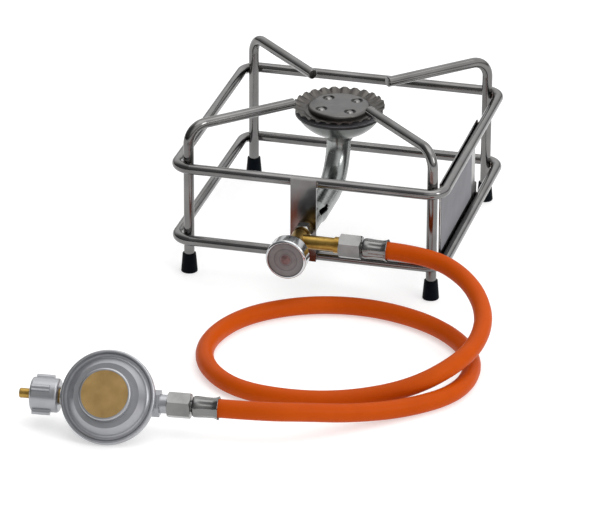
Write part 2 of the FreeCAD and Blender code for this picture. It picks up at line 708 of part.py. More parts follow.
KNOB_FRONT = D["knob_back"] + D["knob_height"]
KNOB_FLOOR = KNOB_FRONT - D["knob_recess"]
KNOB_SEAT = D["knob_back"] + D["knob_hollow"]


def make_spindle():
    """The spindle with its needle tip, up to the knob's floor."""
    body = new_body("valve_spindle", TAP_BASE, FRONTWARD)
    back, tip = D["spindle_back"] + D["swivel_gap"], D["spindle_tip_dia"] / 2
    turned(body, (
        (0, back - D["spindle_tip"]), (tip, back - D["spindle_tip"]),
        (D["spindle_root_dia"] / 2, back), (SPINDLE, back), (SPINDLE, KNOB_SEAT), (0, KNOB_SEAT),
    ))


def make_knob():
    """The turned knob: hollow behind, with a hub on the spindle and a recess in front."""
    body = new_body("control_knob", TAP_BASE, FRONTWARD)
    outer, back, bend = D["knob_dia"] / 2, D["knob_back"], D["knob_round"]
    inside = outer - D["knob_rim"]
    hub = D["knob_hub_dia"] / 2
    bore = SPINDLE + D["fit_gap"]
    screw = D["screw_dia"] / 2
    turned(body, (
        (bore, back - D["knob_hub"]), (hub, back - D["knob_hub"]), (hub, KNOB_SEAT),
        (inside, KNOB_SEAT), (inside, back), (outer, back), (outer, KNOB_FRONT - bend, bend),
        (outer - bend, KNOB_FRONT), (inside, KNOB_FRONT), (inside, KNOB_FLOOR),
        (screw, KNOB_FLOOR), (screw, KNOB_SEAT), (bore, KNOB_SEAT),
    ))


def make_knob_face():
    """The thin plain disc in the knob's recess."""
    body = new_body("knob_face", TAP_BASE, FRONTWARD)
    outer = D["knob_dia"] / 2 - D["knob_rim"] - D["fit_gap"]
    inner = D["screw_dia"] / 2 + D["fit_gap"]
    top = KNOB_FLOOR + D["knob_face_sheet"]
    turned(body, ((inner, KNOB_FLOOR), (outer, KNOB_FLOOR), (outer, top), (inner, top)))


def make_knob_screw():
    """The red-capped screw that holds the knob's face to the knob."""
    body = new_body("knob_screw", TAP_BASE, FRONTWARD)
    low = KNOB_FLOOR + D["knob_face_sheet"]
    shank, head = D["screw_dia"] / 2, D["screw_head_dia"] / 2
    dome = D["screw_head"]
    bend = (head * head + dome * dome) / (2 * dome)
    turned(body, ((0, KNOB_SEAT), (shank, KNOB_SEAT), (shank, low), (head, low, bend), (0, low + dome)))


# Hose ends: each body's Z axis points from its stub into the hose

TAP_END = (D["burner_offset"], -D["tee_place"], D["tap_height"])
RIGHTWARD = FreeCAD.Rotation(Y_AXIS, 90)
TAIL_SEAT = D["thread_length"] + D["fit_gap"]
TAIL_STEP = TAIL_SEAT + D["tail_head"]
FERRULE_END = D["ferrule_start"] + D["ferrule_length"]


def make_hose_end(prefix, shoulder, base, turn):
    """Swivel nut, hose tail and crimped ferrule, from the stub's shoulder outwards."""
    start = shoulder + D["swivel_gap"]
    end = shoulder + D["union_length"]
    step = shoulder + TAIL_STEP + D["swivel_gap"]
    tail = D["tail_dia"] / 2
    hex_nut(f"{prefix}_union_nut", D["union_across"], start, end,
            ((D["thread_dia"] / 2 + D["swivel_gap"], start, step),
             (tail + D["swivel_gap"], step, end)), base, turn)
    stem = new_body(f"{prefix}_hose_tail", base, turn)
    bore = D["gas_bore"] / 2
    head = D["tail_head_dia"] / 2
    turned(stem, (
        (bore, shoulder + TAIL_SEAT), (head, shoulder + TAIL_SEAT), (head, shoulder + TAIL_STEP),
        (tail, shoulder + TAIL_STEP), (tail, shoulder + D["tail_end"]),
        (bore, shoulder + D["tail_end"]),
    ))
    sleeve = new_body(f"{prefix}_ferrule", base, turn)
    low = shoulder + D["ferrule_start"]
    high = shoulder + FERRULE_END
    wide, waist, flare = D["ferrule_dia"] / 2, D["ferrule_waist_dia"] / 2, D["ferrule_flare_dia"] / 2
    band, lip = D["ferrule_band"], D["ferrule_flare"]
    hole = tail + D["fit_gap"]
    hose = D["hose_dia"] / 2 + D["fit_gap"]
    bend = D["ferrule_round"]
    turned(sleeve, (
        (hole, low), (wide - bend, low, bend), (wide, low + bend), (wide, low + band),
        (waist, low + band * 2), (waist, high - lip), (flare, high), (hose, high),
        (hose, shoulder + D["tail_end"]), (hole, shoulder + D["tail_end"]),
    ))


# Regulator: Z leans up and forward out of its face, X points along its outlet

LEAN = math.radians(number(D["regulator_lean"]))
YAW = math.radians(number(D["regulator_yaw"]))
CASE = D["case_dia"] / 2
CASE_LOW = D["case_place"] - D["case_flange"]
REGULATOR_Z = CASE * math.cos(LEAN) - CASE_LOW * math.sin(LEAN)
REGULATOR_BASE = (D["regulator_x"], D["regulator_y"], REGULATOR_Z)
YAW_TURN = FreeCAD.Rotation(Z_AXIS, number(D["regulator_yaw"]))
FACE_TURN = YAW_TURN.multiply(FreeCAD.Rotation(X_AXIS, 90 - number(D["regulator_lean"])))
OUTLET_TURN = FACE_TURN.multiply(FreeCAD.Rotation(Y_AXIS, 90))
INLET_TURN = FACE_TURN.multiply(FreeCAD.Rotation(Y_AXIS, -90))


def make_case():
    """The die-cast rear half, with the outlet's hexagon and stub and the inlet's boss."""
    body = new_body("regulator_body", REGULATOR_BASE, FACE_TURN)
    side, back = D["case_side_dia"] / 2, D["case_back_dia"] / 2
    hub, bend = D["case_hub_dia"] / 2, D["case_back_round"]
    floor = -D["case_back"]
    chamber = D["chamber_dia"] / 2
    turned(body, (
        (0, floor - D["case_hub"]), (hub, floor - D["case_hub"]), (hub, floor),
        (back - bend, floor, bend), (back, floor + bend), (side, CASE_LOW), (CASE, CASE_LOW),
        (CASE, D["case_place"]), (chamber, D["case_place"]),
        (chamber, D["case_place"] - D["chamber_depth"]),
        (0, D["case_place"] - D["chamber_depth"]),
    ), plane="YZ_Plane")
    start = back - bend
    outlet = hexagon(body, "YZ_Plane", D["outlet_across"], start)
    padded(body, outlet, D["outlet_hex_end"] - start)
    neck = circle(body, "YZ_Plane", D["outlet_neck_dia"] / 2, lift=D["outlet_hex_end"])
    padded(body, neck, D["outlet_shoulder"] - D["outlet_hex_end"])
    stub = circle(body, "YZ_Plane", D["thread_dia"] / 2, lift=D["outlet_shoulder"])
    padded(body, stub, D["thread_length"])
    inlet = circle(body, "YZ_Plane", D["inlet_boss_dia"] / 2, lift=-D["inlet_boss_end"])
    padded(body, inlet, D["inlet_boss_end"] - start)
    bore = circle(body, "YZ_Plane", D["gas_bore"] / 2, lift=start)
    pocketed(body, bore, D["outlet_shoulder"] + D["thread_length"] - start, reverse=True)
    socket = circle(body, "YZ_Plane", D["inlet_shank_dia"] / 2 + D["fit_gap"],
                    lift=-D["inlet_boss_end"])
    pocketed(body, socket, D["inlet_shank_depth"], reverse=True)


def make_cover():
    """The pressed front half: beaded flange, groove, cone and raised middle."""
    body = new_body("regulator_cover", REGULATOR_BASE, FACE_TURN)
    low, bead = D["case_place"], D["case_bead"]
    groove = D["cover_groove_dia"] / 2
    cone, wall = D["cover_cone_dia"] / 2, D["cover_wall"]
    boss = D["cover_boss_dia"] / 2
    bend = D["cover_round"]
    ledge = low + D["cover_groove"] + D["cover_cone_rise"]
    top = ledge + D["cover_boss_rise"]
    disc = D["disc_dia"] / 2 + D["fit_gap"]
    chamber = D["chamber_dia"] / 2
    turned(body, (
        (chamber, low), (CASE, low), (CASE, low + bead - bead / 2, bead / 2),
        (CASE - bead / 2, low + bead), (groove + bead, low + bead),
        (groove + bead / 2, low + D["cover_groove"] / 2), (groove, low + D["cover_groove"] / 2),
        (groove - bead / 2, low + D["cover_groove"]), (cone, ledge), (boss, ledge),
        (boss, top - bend, bend), (boss - bend, top), (disc, top), (disc, top - D["disc_sheet"]),
        (0, top - D["disc_sheet"]), (0, top - D["disc_sheet"] - wall), (boss - wall, top - bend - wall),
        (boss - wall, ledge - wall), (cone - wall, ledge - wall),
    ))


def make_disc():
    """The plain tinted disc set into the middle of the cover."""
    body = new_body("rating_disc", REGULATOR_BASE, FACE_TURN)
    ledge = D["case_place"] + D["cover_groove"] + D["cover_cone_rise"]
    top = ledge + D["cover_boss_rise"]
    radius, low = D["disc_dia"] / 2, top - D["disc_sheet"]
    turned(body, ((0, low), (radius, low), (radius, top), (0, top)))


COLLAR_START = D["handnut_start"] + D["handnut_wall"] + D["swivel_gap"]
COLLAR_END = COLLAR_START + D["nipple_collar"]
SEAL_END = COLLAR_END + D["inlet_seal"]


def make_nipple():
    """The brass inlet nipple, whose collar holds the cylinder nut captive."""
    body = new_body("inlet_nipple", REGULATOR_BASE, INLET_TURN)
    bore, shank = D["jet_bore"] / 2, D["inlet_shank_dia"] / 2
    neck, collar, tip = D["nipple_neck_dia"] / 2, D["nipple_collar_dia"] / 2, D["nipple_dia"] / 2
    boss, end, bend = D["inlet_boss_end"], D["nipple_end"], D["nipple_round"]
    root = D["nipple_root_dia"] / 2
    turned(body, (
        (bore, boss - D["inlet_shank_depth"]), (shank, boss - D["inlet_shank_depth"]),
        (shank, boss), (neck, boss), (neck, COLLAR_START), (collar, COLLAR_START),
        (collar, COLLAR_END), (root, COLLAR_END), (root, SEAL_END), (tip, SEAL_END),
        (tip, end - bend, bend), (tip - bend, end), (bore, end),
    ))


def make_inlet_seal():
    """The rubber ring that seals against the cylinder valve."""
    body = new_body("inlet_seal", REGULATOR_BASE, INLET_TURN)
    inner, outer = D["nipple_root_dia"] / 2 + D["fit_gap"], D["inlet_seal_dia"] / 2
    turned(body, ((inner, COLLAR_END), (outer, COLLAR_END), (outer, SEAL_END), (inner, SEAL_END)))


def make_handnut():
    """The hand nut for the cylinder, with four lugs to turn it by."""
    turn = INLET_TURN.multiply(FreeCAD.Rotation(Z_AXIS, number(D["lug_turn"])))
    body = new_body("cylinder_nut", REGULATOR_BASE, turn)
    start = D["handnut_start"]
    end = start + D["handnut_length"]
    outer, bore, bend = D["handnut_dia"] / 2, D["handnut_bore_dia"] / 2, D["handnut_round"]
    hole = D["nipple_neck_dia"] / 2 + D["swivel_gap"]
    floor = start + D["handnut_wall"]
    turned(body, (
        (hole, start), (outer - bend, start, bend), (outer, start + bend),
        (outer, end - bend, bend), (outer - bend, end), (bore, end), (bore, floor), (hole, floor),
    ))
    half, reach = D["lug_width"] / 2, D["lug_reach"]
    inside = (bore + outer) / 2
    lug = outline(body, "XY_Plane", (
        (inside, -half), (reach - half, -half, half), (reach, 0, half), (reach - half, half),
        (inside, half),
    ), end - bend - D["lug_length"])
    made = padded(body, lug, D["lug_length"])
    patterned(body, made, D["lug_count"])


# Hose

def make_hose():
    """The hose as straight runs joined by arcs as large as the runs allow."""
    start = V(number(D["burner_offset"] + D["branch_shoulder"] + D["tail_end"]),
              number(-D["tee_place"]), number(D["tap_height"]))
    out = V(math.cos(YAW), math.sin(YAW), 0)
    centre = V(*[number(b) for b in REGULATOR_BASE])
    end = centre + out * number(D["outlet_shoulder"] + D["tail_end"])
    points = [start, start + X_AXIS * HOSE_LEAD] + [V(*p) for p in HOSE_POINTS]
    points += [end + out * HOSE_LEAD, end]
    edges = []
    radii = []
    last = points[0]
    for before, corner, after in zip(points, points[1:], points[2:]):
        into, away = corner - before, after - corner
        turn = into.getAngle(away)
        trim = ARC_SHARE * min(into.Length, away.Length)
        radii.append(trim / math.tan(turn / 2))
        into.normalize()
        away.normalize()
        first, second = corner - into * trim, corner + away * trim
        bisector = (away - into).normalize()
        depth = radii[-1] / math.cos(turn / 2) - radii[-1]
        edges.append(Part.LineSegment(last, first).toShape())
        edges.append(Part.Arc(first, corner + bisector * depth, second).toShape())
        last = second
    edges.append(Part.LineSegment(last, points[-1]).toShape())
    path = Part.Wire(edges)
    radius = number(D["hose_dia"] / 2)
    section = Part.Wire(Part.Circle(start, X_AXIS, radius).toShape())
    hose = path.makePipeShell([section], True, True)
    node = doc.addObject("Part::Feature", "gas_hose")
    node.Label = "gas_hose"
    node.Shape = hose
    node.Placement = FreeCAD.Placement()
    nodes.append(node)
    share = hose.Volume / (math.pi * radius ** 2 * path.Length)
    print(f"hose length {path.Length:.1f}, volume share {share:.4f}")
    print("hose bend radii", [round(r) for r in radii])


def build():
    """Make every piece of the cooker."""
    make_ring("upper_ring", D["upper_ring_height"])
    make_ring("lower_ring", D["lower_ring_height"])
    for corner, (side_x, side_y, heading) in LEG_PLACES.items():
        make_leg(corner, side_x, side_y, heading)
        make_foot(corner, side_x, side_y)
    make_bracket()
    make_side_plate()
    make_mixing_tube()
    make_bowl()
    make_rim()
    make_cap()
    make_baffle()
    make_rivets()
    make_tap_body()
    make_lock_nut()
    make_injector()
    make_gland()
    make_spindle_seal()
    make_spindle()
    make_knob()
    make_knob_face()
    make_knob_screw()
    make_hose_end("valve", D["branch_shoulder"], TAP_END, RIGHTWARD)
    make_case()
    make_cover()
    make_disc()
    make_nipple()
    make_inlet_seal()
    make_handnut()
    make_hose_end("regulator", D["outlet_shoulder"], REGULATOR_BASE, OUTLET_TURN)
    make_hose()


def write_parts():
    """Check the document, then write one file for each piece."""
    doc.recompute()
    failed = [f"{o.Label} {o.State}" for o in doc.Objects if {"Invalid", "Error"} & set(o.State)]
    for node in nodes:
        if node.Shape.isNull() or not node.Shape.isValid():
            failed.append(f"{node.Label} shape")
    if failed:
        raise RuntimeError("failed: " + ", ".join(failed))
    os.makedirs("parts", exist_ok=True)
    for node in nodes:
        node.Shape.exportStep(f"parts/{node.Label}.step")
        print(node.Label, len(node.Shape.Solids), round(node.Shape.Volume, 1))


build()
write_parts()
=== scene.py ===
"""Finishes, hose, small details, light and camera for the single-ring gas cooker."""
import json
import math

import bmesh
import bpy
from mathutils import Matrix, Vector


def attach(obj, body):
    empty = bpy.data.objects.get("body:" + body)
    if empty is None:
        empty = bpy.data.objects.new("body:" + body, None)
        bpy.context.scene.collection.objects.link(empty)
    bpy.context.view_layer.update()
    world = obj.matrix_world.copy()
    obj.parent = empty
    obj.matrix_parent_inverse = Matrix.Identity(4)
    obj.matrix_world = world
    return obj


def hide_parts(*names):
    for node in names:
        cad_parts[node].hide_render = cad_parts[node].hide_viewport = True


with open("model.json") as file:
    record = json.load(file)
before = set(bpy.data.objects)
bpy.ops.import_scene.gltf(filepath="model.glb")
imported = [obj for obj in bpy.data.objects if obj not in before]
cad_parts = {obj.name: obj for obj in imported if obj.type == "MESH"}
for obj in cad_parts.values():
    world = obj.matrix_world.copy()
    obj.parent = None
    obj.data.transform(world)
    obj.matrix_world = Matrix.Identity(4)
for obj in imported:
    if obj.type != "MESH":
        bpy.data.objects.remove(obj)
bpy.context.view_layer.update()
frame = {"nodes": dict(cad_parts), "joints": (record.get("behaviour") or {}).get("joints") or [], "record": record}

MM = 0.001
STAND = "stand"
NODES = frame["nodes"]
JOINTS = {joint["name"]: joint for joint in frame["joints"]}

# Camera: the photograph's viewing angle, found from the stand's square rings
FRAME_WIDTH = 600
SENSOR = 36.0
VIEW_AZIMUTH = math.radians(13.932)
VIEW_ELEVATION = math.radians(24.502)
VIEW_ROLL = math.radians(0.469)
VIEW_DISTANCE = 3.5
FOCAL_PIXELS = 4477.6
ORIGIN_RIGHT_PIXELS = 39.66
ORIGIN_UP_PIXELS = 18.77

# Sizes of the object, in metres
BURNER_X = -1.2 * MM
TINT_REACH = 36 * MM
KNOB_RADIUS = 15.6 * MM
RIVET_PLACE = 11.31 * MM
DIMPLE_RADIUS = 4.8 * MM
RIM_FOOT = 102.7 * MM
RIM_DEPTH = 2.1 * MM
TAP_HEIGHT = 50 * MM
TEE_Y = -126 * MM
HOSE_DIAMETER = 13.5 * MM
HOSE_START = Vector((65 * MM, TEE_Y, TAP_HEIGHT))
HOSE_LEAD = 36 * MM
HOSE_END_REACH = 74.7 * MM
INLET_REACH = 47 * MM
VALVE_FERRULE = Vector((49.5 * MM, TEE_Y, TAP_HEIGHT))
FERRULE_REACH = 59.2 * MM

# The hose's route between its two straight ends, in millimetres
HOSE_POINTS = (
    (135.5, -147.5, 44), (155.5, -180.5, 35), (159, -215.5, 28.5), (150.5, -250.5, 25), (123, -276.5, 14.5),
    (82.5, -291, 7), (42, -302, 7), (-4.5, -296.5, 7), (-37, -263.5, 7), (-45.5, -221.5, 7),
    (-30.5, -176, 7), (8.5, -145, 7), (55, -136, 7), (103, -149.5, 7), (138, -178, 7),
    (157, -217, 7), (153.5, -261.5, 7), (123.5, -294.5, 7), (89, -321.5, 11.5), (60, -344.5, 20),
)


# Material helpers

def fill_band(band, stops):
    """Set the stops of a colour ramp, each a grey or a colour."""
    while len(band.elements) < len(stops):
        band.elements.new(0.5)
    for element, (spot, colour) in zip(band.elements, stops):
        element.position = spot
        grey = isinstance(colour, (int, float))
        element.color = (colour, colour, colour, 1) if grey else (*colour, 1)


class Finish:
    """A material being built from nodes. Its first colour is what a viewer without nodes shows."""

    def __init__(self, name, colour, metallic=0.0, roughness=0.5):
        self.material = bpy.data.materials.new(name)
        self.material.use_nodes = True
        self.nodes = self.material.node_tree.nodes
        self.links = self.material.node_tree.links
        self.shader = self.nodes["Principled BSDF"]
        self.shader.inputs["Base Color"].default_value = (*colour, 1)
        self.shader.inputs["Metallic"].default_value = metallic
        self.shader.inputs["Roughness"].default_value = roughness
        self.place = self.nodes.new("ShaderNodeTexCoord").outputs["Object"]

    def set(self, socket, value):
        """Set one of the shader's own sockets."""
        self.shader.inputs[socket].default_value = value

    def height(self):
        """Height over the floor, in metres."""
        node = self.nodes.new("ShaderNodeSeparateXYZ")
        self.links.new(self.place, node.inputs[0])
        return node.outputs["Z"]

    def noise(self, scale, detail=4.0, rough=0.5):
        """A noise pattern at a scale per metre."""
        node = self.nodes.new("ShaderNodeTexNoise")
        node.inputs["Scale"].default_value = scale
        node.inputs["Detail"].default_value = detail
        node.inputs["Roughness"].default_value = rough
        self.links.new(self.place, node.inputs["Vector"])
        return node.outputs["Fac"]

    def ramp(self, value, stops):
        """Colours or greys along a value."""
        node = self.nodes.new("ShaderNodeValToRGB")
        fill_band(node.color_ramp, stops)
        self.links.new(value, node.inputs["Fac"])
        return node.outputs["Color"]

    def mix(self, share, first, second, blend="MIX"):
        """Blend two colours by a share."""
        node = self.nodes.new("ShaderNodeMix")
        node.data_type = "RGBA"
        node.blend_type = blend
        for socket, item in ((0, share), (6, first), (7, second)):
            if isinstance(item, bpy.types.NodeSocket):
                self.links.new(item, node.inputs[socket])
            elif socket == 0:
                node.inputs[socket].default_value = item
            else:
                node.inputs[socket].default_value = (*item, 1)
        return node.outputs[2]

    def math(self, kind, first, second=0.0):
        """One sum on values."""
        node = self.nodes.new("ShaderNodeMath")
        node.operation = kind
        for socket, item in enumerate((first, second)):
            if isinstance(item, bpy.types.NodeSocket):
                self.links.new(item, node.inputs[socket])
            else:
                node.inputs[socket].default_value = item
        return node.outputs[0]

    def vector(self, kind, first, second=None):
        """One sum on vectors, the second of them fixed."""
        node = self.nodes.new("ShaderNodeVectorMath")
        node.operation = kind
        self.links.new(first, node.inputs[0])
        if second:
            node.inputs[1].default_value = second
        return node.outputs["Value" if kind == "LENGTH" else "Vector"]

    def radius(self, centre, axis):
        """Distance from an axis through a point, in metres."""
        away = self.vector("SUBTRACT", self.place, centre)
        return self.vector("LENGTH", self.vector("CROSS_PRODUCT", away, axis))

    def rivet_radius(self):
        """Distance from the axis of the nearest of the cap's four rivets, in metres."""
        quarter = self.vector("ABSOLUTE", self.vector("SUBTRACT", self.place, (BURNER_X, 0, 0)))
        away = self.vector("SUBTRACT", quarter, (RIVET_PLACE, RIVET_PLACE, 0))
        return self.vector("LENGTH", self.vector("CROSS_PRODUCT", away, (0, 0, 1)))

    def colour(self, output):
        self.links.new(output, self.shader.inputs["Base Color"])

    def rough(self, value, low, high):
        """Roughness between two limits."""
        node = self.nodes.new("ShaderNodeMapRange")
        self.links.new(value, node.inputs["Value"])
        node.inputs["To Min"].default_value = low
        node.inputs["To Max"].default_value = high
        self.links.new(node.outputs["Result"], self.shader.inputs["Roughness"])

    def bump(self, height, strength, depth):
        """Fine relief, with its depth in metres."""
        node = self.nodes.new("ShaderNodeBump")
        node.inputs["Strength"].default_value = strength
        node.inputs["Distance"].default_value = depth
        self.links.new(height, node.inputs["Height"])
        self.links.new(node.outputs["Normal"], self.shader.inputs["Normal"])


def polished_steel(name, tone=1.0):
    """Polished stainless steel: bright, with faint drawing marks and smudges."""
    finish = Finish(name, (0.25, 0.245, 0.24), 1.0, 0.14)
    smudge = finish.noise(38, 5)
    dark, pale = (0.14 * tone, 0.137 * tone, 0.135 * tone), (0.2 * tone, 0.197 * tone, 0.195 * tone)
    finish.colour(finish.ramp(smudge, ((0.3, dark), (0.7, pale))))
    finish.rough(finish.noise(120, 6, 0.6), 0.08, 0.22)
    finish.bump(finish.noise(900, 2, 0.5), 0.08, 0.02 * MM)
    return finish.material


def zinc_plate(name, dark, pale):
    """Bright zinc plate with a cloudy passivated colour."""
    finish = Finish(name, dark, 1.0, 0.25)
    cloud = finish.noise(48, 4, 0.5)
    finish.colour(finish.ramp(cloud, ((0.32, dark), (0.68, pale))))
    finish.rough(finish.noise(240, 4), 0.17, 0.32)
    finish.bump(finish.noise(1500, 2), 0.06, 0.02 * MM)
    return finish.material


def brass(name):
    """Turned brass with darker spots."""
    finish = Finish(name, (0.26, 0.155, 0.04), 1.0, 0.3)
    spots = finish.noise(160, 5, 0.6)
    finish.colour(finish.ramp(spots, ((0.3, (0.25, 0.147, 0.031)), (0.65, (0.4, 0.255, 0.065)))))
    finish.rough(finish.noise(420, 4), 0.24, 0.42)
    finish.bump(finish.noise(900, 2), 0.1, 0.03 * MM)
    return finish.material


def black_rubber(name):
    """Moulded blue-black rubber, a little dusty."""
    finish = Finish(name, (0.002, 0.003, 0.006), 0.0, 0.5)
    dust = finish.noise(300, 6, 0.65)
    finish.colour(finish.ramp(dust, ((0.4, (0.0008, 0.0018, 0.004)), (0.85, (0.004, 0.006, 0.009)))))
    finish.rough(dust, 0.36, 0.58)
    finish.bump(finish.noise(2600, 3), 0.2, 0.05 * MM)
    finish.set("Specular IOR Level", 0.04)
    return finish.material


def heat_tint_and_painted_shade_steel(name):
    """The cap's stainless sheet, browned by the flame towards its flutes, with painted shade inside each rivet's
    dimple.
    """
    finish = Finish(name, (0.28, 0.25, 0.22), 1.0, 0.3)
    out = finish.radius((BURNER_X, 0, 0), (0, 0, 1))
    ring = finish.ramp(finish.math("MULTIPLY", out, 1 / TINT_REACH), (
        (0.0, (0.133, 0.13, 0.129)), (0.6, (0.128, 0.125, 0.123)), (0.7, (0.082, 0.076, 0.07)),
        (0.97, (0.098, 0.092, 0.086)),
    ))
    cloud = finish.ramp(finish.noise(90, 6, 0.6), ((0.3, 0.74), (0.7, 1.08)))
    # Painted shade: the sheet is darkened to a quarter inside each rivet's dimple, standing in for shade in the
    # hollow.
    near = finish.math("MULTIPLY", finish.rivet_radius(), 1 / DIMPLE_RADIUS)
    dimple_painted_shade = finish.ramp(near, ((0.86, 0.25), (1.0, 1.0)))
    finish.colour(finish.mix(1.0, finish.mix(0.6, ring, cloud, "MULTIPLY"), dimple_painted_shade, "MULTIPLY"))
    finish.rough(finish.noise(260, 5), 0.24, 0.42)
    finish.bump(finish.noise(700, 4), 0.12, 0.03 * MM)
    return finish.material


def blackened_steel_with_painted_lit_top(name):
    """The burner's rim: black, with a grey ring on its top that is painted light for its up-facing face."""
    finish = Finish(name, (0.02, 0.02, 0.022), 0.0, 0.45)
    scale = finish.noise(420, 6, 0.65)
    black = finish.ramp(scale, ((0.35, (0.002, 0.002, 0.003)), (0.75, (0.012, 0.012, 0.014))))
    # Painted light: a grey for the rim's top, standing in for light on its up-facing face; the black is the rim's
    # own colour.
    lit_top_grey = finish.ramp(scale, ((0.35, (0.2, 0.2, 0.225)), (0.75, (0.34, 0.335, 0.355))))
    rise = finish.math("SUBTRACT", finish.height(), RIM_FOOT)
    # Mask of the painted light: grey only in the topmost few hundredths of the rim's depth.
    lit_top_share = finish.ramp(finish.math("MULTIPLY", rise, 1 / RIM_DEPTH), ((0.93, 0.0), (0.97, 1.0)))
    finish.colour(finish.mix(lit_top_share, black, lit_top_grey))
    finish.rough(scale, 0.34, 0.55)
    finish.bump(scale, 0.15, 0.04 * MM)
    return finish.material


def weld_steel(name):
    """Weld beads: rippled, with a brown and blue heat tint."""
    finish = Finish(name, (0.14, 0.12, 0.11), 1.0, 0.35)
    tint = finish.noise(420, 5, 0.6)
    finish.colour(finish.ramp(tint, ((0.3, (0.05, 0.05, 0.06)), (0.7, (0.24, 0.2, 0.17)))))
    finish.rough(tint, 0.25, 0.5)
    finish.bump(finish.noise(1800, 3), 0.3, 0.08 * MM)
    return finish.material


def chrome(name):
    """The knob's bright plated rim."""
    finish = Finish(name, (0.5, 0.51, 0.52), 1.0, 0.12)
    cloud = finish.noise(60, 4)
    finish.colour(finish.ramp(cloud, ((0.3, (0.42, 0.435, 0.45)), (0.7, (0.56, 0.565, 0.57)))))
    finish.rough(finish.noise(200, 5), 0.08, 0.2)
    finish.bump(finish.noise(1200, 2), 0.05, 0.02 * MM)
    return finish.material


def knob_face(name):
    """Satin grey face with plain printed rings."""
    finish = Finish(name, (0.3, 0.3, 0.31), 0.6, 0.36)
    out = finish.radius((BURNER_X, 0, TAP_HEIGHT), (0, 1, 0))
    rings = finish.ramp(finish.math("MULTIPLY", out, 1 / KNOB_RADIUS), (
        (0.28, (0.18, 0.165, 0.168)), (0.3, (0.09, 0.086, 0.09)), (0.33, (0.17, 0.163, 0.166)),
        (0.52, (0.17, 0.163, 0.166)), (0.55, (0.11, 0.108, 0.11)), (0.6, (0.19, 0.187, 0.19)),
        (0.8, (0.17, 0.168, 0.17)), (0.87, (0.08, 0.08, 0.083)),
    ))
    cloud = finish.ramp(finish.noise(220, 5), ((0.3, 0.8), (0.7, 1.1)))
    finish.colour(finish.mix(0.7, rings, cloud, "MULTIPLY"))
    finish.rough(finish.noise(300, 4), 0.26, 0.44)
    finish.bump(finish.noise(1600, 2), 0.1, 0.02 * MM)
    return finish.material


def red_lacquer(name):
    """The knob's dull red middle."""
    finish = Finish(name, (0.2, 0.08, 0.075), 0.3, 0.32)
    cloud = finish.noise(500, 4)
    finish.colour(finish.ramp(cloud, ((0.3, (0.105, 0.055, 0.053)), (0.7, (0.17, 0.095, 0.092)))))
    finish.rough(cloud, 0.24, 0.42)
    finish.bump(finish.noise(1500, 2), 0.1, 0.02 * MM)
    return finish.material


def orange_hose(name):
    """Smooth extruded hose: satin orange with faint scuffs."""
    finish = Finish(name, (0.48, 0.066, 0.006), 0.0, 0.4)
    scuff = finish.noise(26, 6, 0.6)
    finish.colour(finish.ramp(scuff, ((0.25, (0.43, 0.057, 0.0015)), (0.75, (0.5, 0.072, 0.0025)))))
    finish.rough(finish.noise(140, 5), 0.34, 0.5)
    finish.bump(finish.noise(600, 4), 0.08, 0.05 * MM)
    finish.set("Specular IOR Level", 0.06)
    return finish.material


def silver_lacquer(name):
    """Silver-lacquered die casting."""
    finish = Finish(name, (0.38, 0.385, 0.4), 0.85, 0.34)
    cloud = finish.noise(60, 5)
    finish.colour(finish.ramp(cloud, ((0.3, (0.33, 0.335, 0.352)), (0.7, (0.39, 0.395, 0.415)))))
    finish.rough(finish.noise(80, 4), 0.27, 0.36)
    finish.bump(finish.noise(1400, 3), 0.012, 0.02 * MM)
    return finish.material


def tan_lacquer(name):
    """The plain tan disc in the middle of the cover."""
    finish = Finish(name, (0.45, 0.32, 0.12), 0.35, 0.4)
    cloud = finish.noise(120, 5)
    finish.colour(finish.ramp(cloud, ((0.3, (0.3, 0.185, 0.062)), (0.7, (0.39, 0.25, 0.09)))))
    finish.rough(cloud, 0.34, 0.48)
    finish.bump(finish.noise(1800, 3), 0.1, 0.03 * MM)
    return finish.material


def blank_label(name):
    """The plain pale label on the side plate."""
    finish = Finish(name, (0.55, 0.56, 0.59), 0.0, 0.4)
    cloud = finish.noise(45, 5)
    finish.colour(finish.ramp(cloud, ((0.3, (0.15, 0.15, 0.163)), (0.7, (0.2, 0.2, 0.215)))))
    finish.rough(cloud, 0.4, 0.58)
    finish.bump(finish.noise(700, 3), 0.08, 0.03 * MM)
    finish.set("Specular IOR Level", 0.05)
    return finish.material


def floor_paint(name):
    """A plain pale floor with a little light of its own, so that shadows stay faint."""
    finish = Finish(name, (0.6, 0.6, 0.6), 0.0, 0.7)
    finish.set("Specular IOR Level", 0.2)
    finish.set("Emission Color", (1, 1, 1, 1))
    finish.set("Emission Strength", 0.5)
    return finish.material


